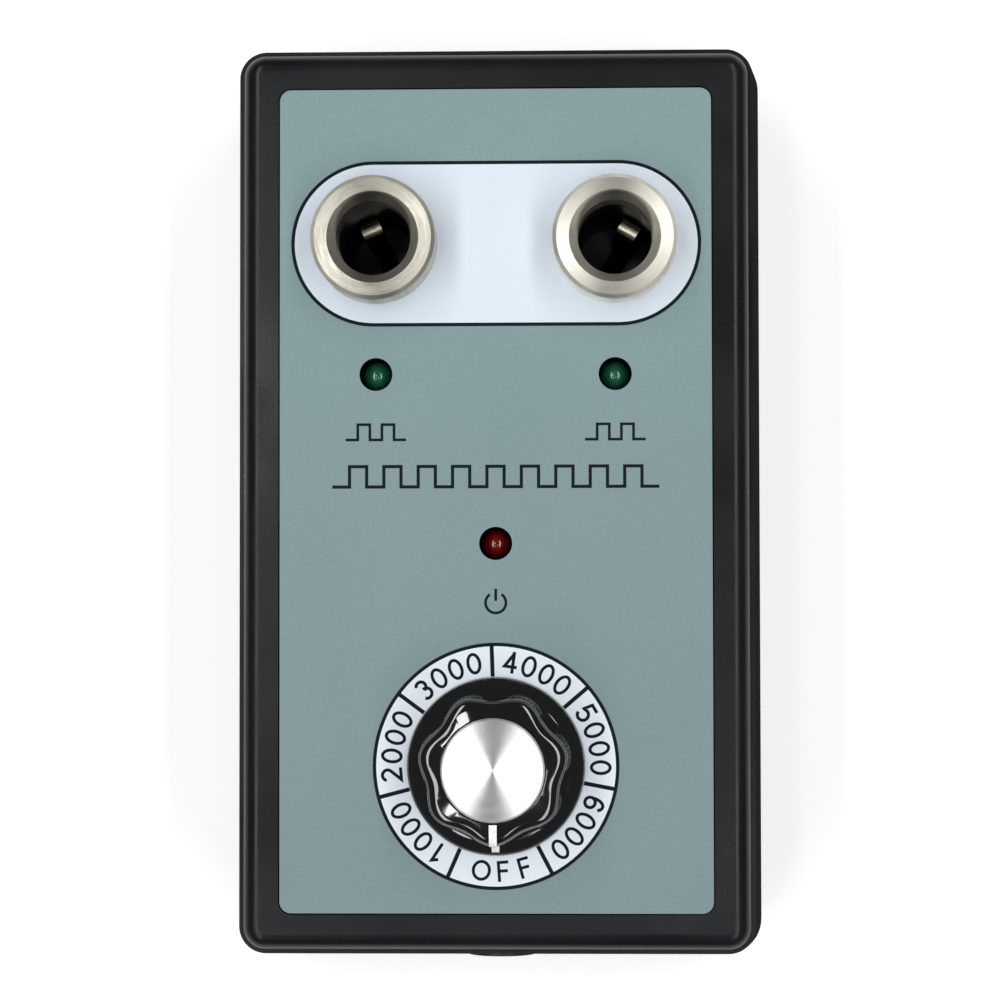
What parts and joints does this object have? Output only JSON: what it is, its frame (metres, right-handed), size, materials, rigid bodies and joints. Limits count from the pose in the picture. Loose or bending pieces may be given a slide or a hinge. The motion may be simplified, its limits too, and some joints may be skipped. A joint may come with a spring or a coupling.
{
  "type": "spark_plug_tester",
  "caption": "Hand-held spark plug tester: black plastic box with nickel test sockets, signal and power lamps and a rotary speed knob on a printed dial",
  "frame": {"origin": "middle of the flat back of the box", "axes": "+X to the right of a user facing the label, +Y towards the sockets (the long way), +Z out of the label"},
  "size_m": [0.0842, 0.1465, 0.0549],
  "materials": {
    "case_plastic": "fine moulded satin",
    "label_film": "matt printed film",
    "nickel": "turned, nickel plated",
    "brass": "plain",
    "insulator": "plain",
    "contact_strip": "tinned spring strip",
    "green_lens": "clear tinted",
    "red_lens": "clear tinted",
    "tinned_steel": "tinned",
    "screw_steel": "zinc plated",
    "board_laminate": "lacquered laminate",
    "potting": "moulded",
    "red_lead": "insulated wire",
    "black_lead": "insulated wire",
    "capacitor_sleeve": "shrunk sleeve",
    "resistor_body": "lacquered",
    "knob_plastic": "polished moulding",
    "cap_aluminium": "spun",
    "pointer_white": "filled line"
  },
  "bodies": {
    "case": {"front_cover": "case_plastic", "rear_cover": "case_plastic", "face_label": "label_film", "left_collar": "nickel", "right_collar": "nickel", "left_collar_nut": "nickel", "right_collar_nut": "nickel", "earth_strap": "brass", "left_socket_tube": "insulator", "right_socket_tube": "insulator", "left_contact_base": "contact_strip", "right_contact_base": "contact_strip", "left_signal_lamp": "green_lens", "right_signal_lamp": "green_lens", "power_lamp": "red_lens", "lamp_leads": "tinned_steel", "circuit_board": "board_laminate", "board_screws": "screw_steel", "left_spark_coil": "potting", "right_spark_coil": "potting", "left_coil_lead": "red_lead", "right_coil_lead": "red_lead", "earth_lead": "black_lead", "timer_chip": "potting", "drive_transistors": "potting", "filter_capacitors": "capacitor_sleeve", "resistors": "resistor_body", "control_can": "tinned_steel", "control_bush": "brass", "bush_washer": "tinned_steel", "bush_nut": "nickel", "control_track": "board_laminate", "control_pins": "tinned_steel", "inlet_body": "insulator", "inlet_pin": "nickel", "inlet_nut": "nickel", "inlet_tags": "tinned_steel", "supply_leads": "red_lead", "case_screws": "screw_steel"},
    "knob": {"control_shaft": "cap_aluminium", "control_wiper": "insulator", "control_knob": "knob_plastic", "knob_cap": "cap_aluminium", "knob_pointer": "pointer_white", "knob_insert": "brass", "knob_set_screw": "screw_steel"},
    "left_contact": {"left_contact_leaf": "contact_strip"},
    "right_contact": {"right_contact_leaf": "contact_strip"}
  },
  "joints": [
    {"name": "knob_turn", "type": "hinge", "parent": "case", "child": "knob", "pos_m": [0, -0.04175, 0.0404], "axis": [0, 0, -1], "range_deg": [0, 300]},
    {"name": "left_contact_flex", "type": "hinge", "parent": "case", "child": "left_contact", "pos_m": [-0.02058, 0.04431, 0.0238], "axis": [0.9063, 0.4226, 0], "range_deg": [0, 7], "stiffness_Nm_per_rad": 0.05},
    {"name": "right_contact_flex", "type": "hinge", "parent": "case", "child": "right_contact", "pos_m": [0.02103, 0.04407, 0.0238], "axis": [0.848, -0.5299, 0], "range_deg": [0, 7], "stiffness_Nm_per_rad": 0.05}
  ]
}
